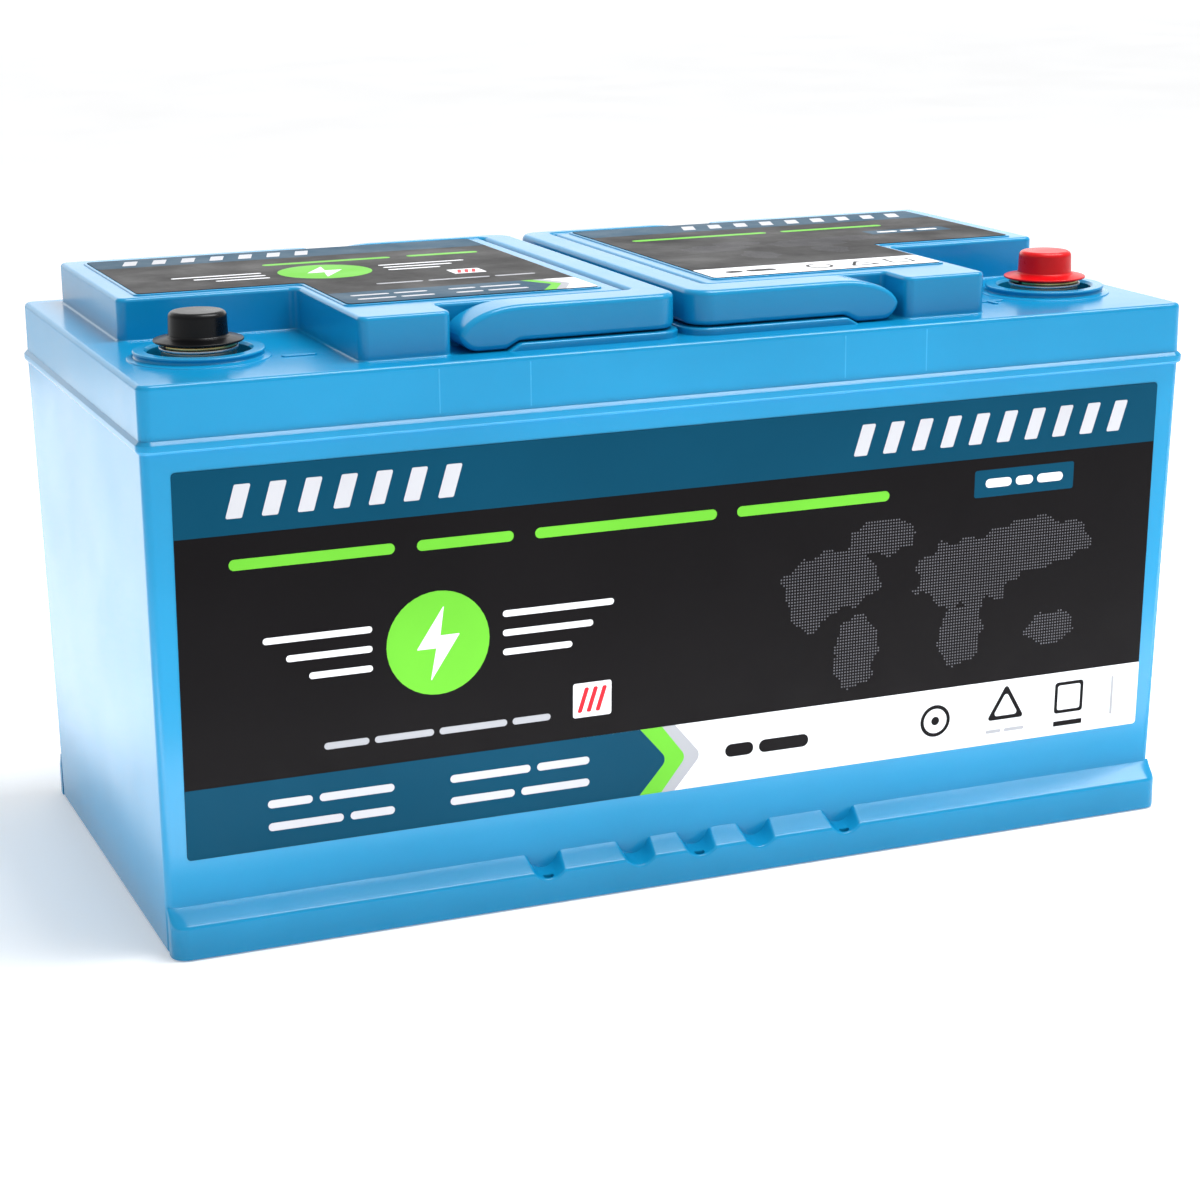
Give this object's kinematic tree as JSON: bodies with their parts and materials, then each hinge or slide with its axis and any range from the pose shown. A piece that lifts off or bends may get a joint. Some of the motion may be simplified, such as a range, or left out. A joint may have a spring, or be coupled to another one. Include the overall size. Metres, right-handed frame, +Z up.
{
  "type": "deep cycle battery",
  "caption": "Rectangular box battery with a stepped lid, capped screw terminals in the front corners, folding carry handles and hold-down ledges along its foot.",
  "frame": {"origin": "centre of the base, on the surface it stands on", "axes": "+X along the length towards the positive terminal, +Y towards the back, away from the terminals, +Z up"},
  "size_m": [0.353, 0.175, 0.19],
  "materials": {
    "blue_shell": "light blue moulded plastic, satin gloss",
    "black_cap": "black moulded plastic",
    "red_cap": "red moulded plastic",
    "zinc_steel": "bright zinc plate",
    "yellow_zinc_steel": "yellow passivated zinc plate",
    "tinned_brass": "tin plate",
    "seal_rubber": "matt",
    "label_film": "printed film, satin",
    "cell_can": "blue shrink film over an aluminium can",
    "foam_pad": "closed-cell foam",
    "fibre_sheet": "glass-epoxy sheet",
    "strap_steel": "plain",
    "copper_bar": "bare copper",
    "circuit_board": "green solder mask",
    "heat_sink": "extruded, plain",
    "black_cable": "silicone sleeve",
    "red_cable": "silicone sleeve",
    "white_cable": "silicone sleeve"
  },
  "bodies": {
    "housing": {"case": "blue_shell", "lid": "blue_shell", "negative_terminal_post": "tinned_brass", "negative_post_seal": "seal_rubber", "negative_post_nut": "zinc_steel", "positive_terminal_post": "tinned_brass", "positive_post_seal": "seal_rubber", "positive_post_nut": "zinc_steel", "front_label": "label_film", "top_label_left": "label_film", "top_label_right": "label_film", "cell_1": "cell_can", "cell_2": "cell_can", "cell_3": "cell_can", "cell_4": "cell_can", "cell_nut_1": "zinc_steel", "cell_nut_2": "zinc_steel", "cell_nut_3": "zinc_steel", "cell_nut_4": "zinc_steel", "cell_nut_5": "zinc_steel", "cell_nut_6": "zinc_steel", "cell_nut_7": "zinc_steel", "cell_nut_8": "zinc_steel", "row_separator": "fibre_sheet", "column_separator_front": "fibre_sheet", "column_separator_back": "fibre_sheet", "cell_strap_lower": "strap_steel", "cell_strap_upper": "strap_steel", "floor_pad": "foam_pad", "left_pad": "foam_pad", "right_pad": "foam_pad", "front_pad": "foam_pad", "back_pad": "foam_pad", "front_cell_link": "copper_bar", "right_cell_link": "copper_bar", "back_cell_link": "copper_bar", "bms_tray": "fibre_sheet", "bms_board": "circuit_board", "bms_heat_sink": "heat_sink", "bms_screw_1": "zinc_steel", "bms_screw_2": "zinc_steel", "bms_screw_3": "zinc_steel", "bms_screw_4": "zinc_steel", "negative_cell_lead": "black_cable", "negative_output_lead": "black_cable", "positive_output_lead": "red_cable", "sense_harness": "white_cable"},
    "handle_left": {"handle_left": "blue_shell"},
    "handle_right": {"handle_right": "blue_shell"},
    "negative_washers": {"negative_flat_washer": "zinc_steel", "negative_spring_washer": "yellow_zinc_steel"},
    "negative_bolt": {"negative_terminal_bolt": "zinc_steel"},
    "negative_cap": {"negative_terminal_cap": "black_cap"},
    "positive_washers": {"positive_flat_washer": "zinc_steel", "positive_spring_washer": "yellow_zinc_steel"},
    "positive_bolt": {"positive_terminal_bolt": "zinc_steel"},
    "positive_cap": {"positive_terminal_cap": "red_cap"}
  },
  "joints": [
    {"name": "handle_left_fold", "type": "hinge", "parent": "housing", "child": "handle_left", "pos_m": [-0.0683, 0, 0.1825], "axis": [0, -1, 0], "range_deg": [0, 102]},
    {"name": "handle_right_fold", "type": "hinge", "parent": "housing", "child": "handle_right", "pos_m": [0.0683, 0, 0.1825], "axis": [0, 1, 0], "range_deg": [0, 102]},
    {"name": "negative_bolt_rise", "type": "slide", "parent": "housing", "child": "negative_washers", "axis": [0, 0, 1], "range_m": [0, 0.0144]},
    {"name": "negative_bolt_turn", "type": "hinge", "parent": "negative_washers", "child": "negative_bolt", "pos_m": [-0.147, -0.045, 0.1807], "axis": [0, 0, 1], "range_deg": [0, 4140]},
    {"name": "negative_cap_lift", "type": "slide", "parent": "negative_bolt", "child": "negative_cap", "axis": [0, 0, 1], "range_m": [0, 0.03]},
    {"name": "positive_bolt_rise", "type": "slide", "parent": "housing", "child": "positive_washers", "axis": [0, 0, 1], "range_m": [0, 0.0144]},
    {"name": "positive_bolt_turn", "type": "hinge", "parent": "positive_washers", "child": "positive_bolt", "pos_m": [0.147, -0.045, 0.1807], "axis": [0, 0, 1], "range_deg": [0, 4140]},
    {"name": "positive_cap_lift", "type": "slide", "parent": "positive_bolt", "child": "positive_cap", "axis": [0, 0, 1], "range_m": [0, 0.03]}
  ],
  "couplings": [
    {"joint": "negative_bolt_rise", "follows": "negative_bolt_turn", "m_per_rad": 0.00019894},
    {"joint": "positive_bolt_rise", "follows": "positive_bolt_turn", "m_per_rad": 0.00019894}
  ]
}
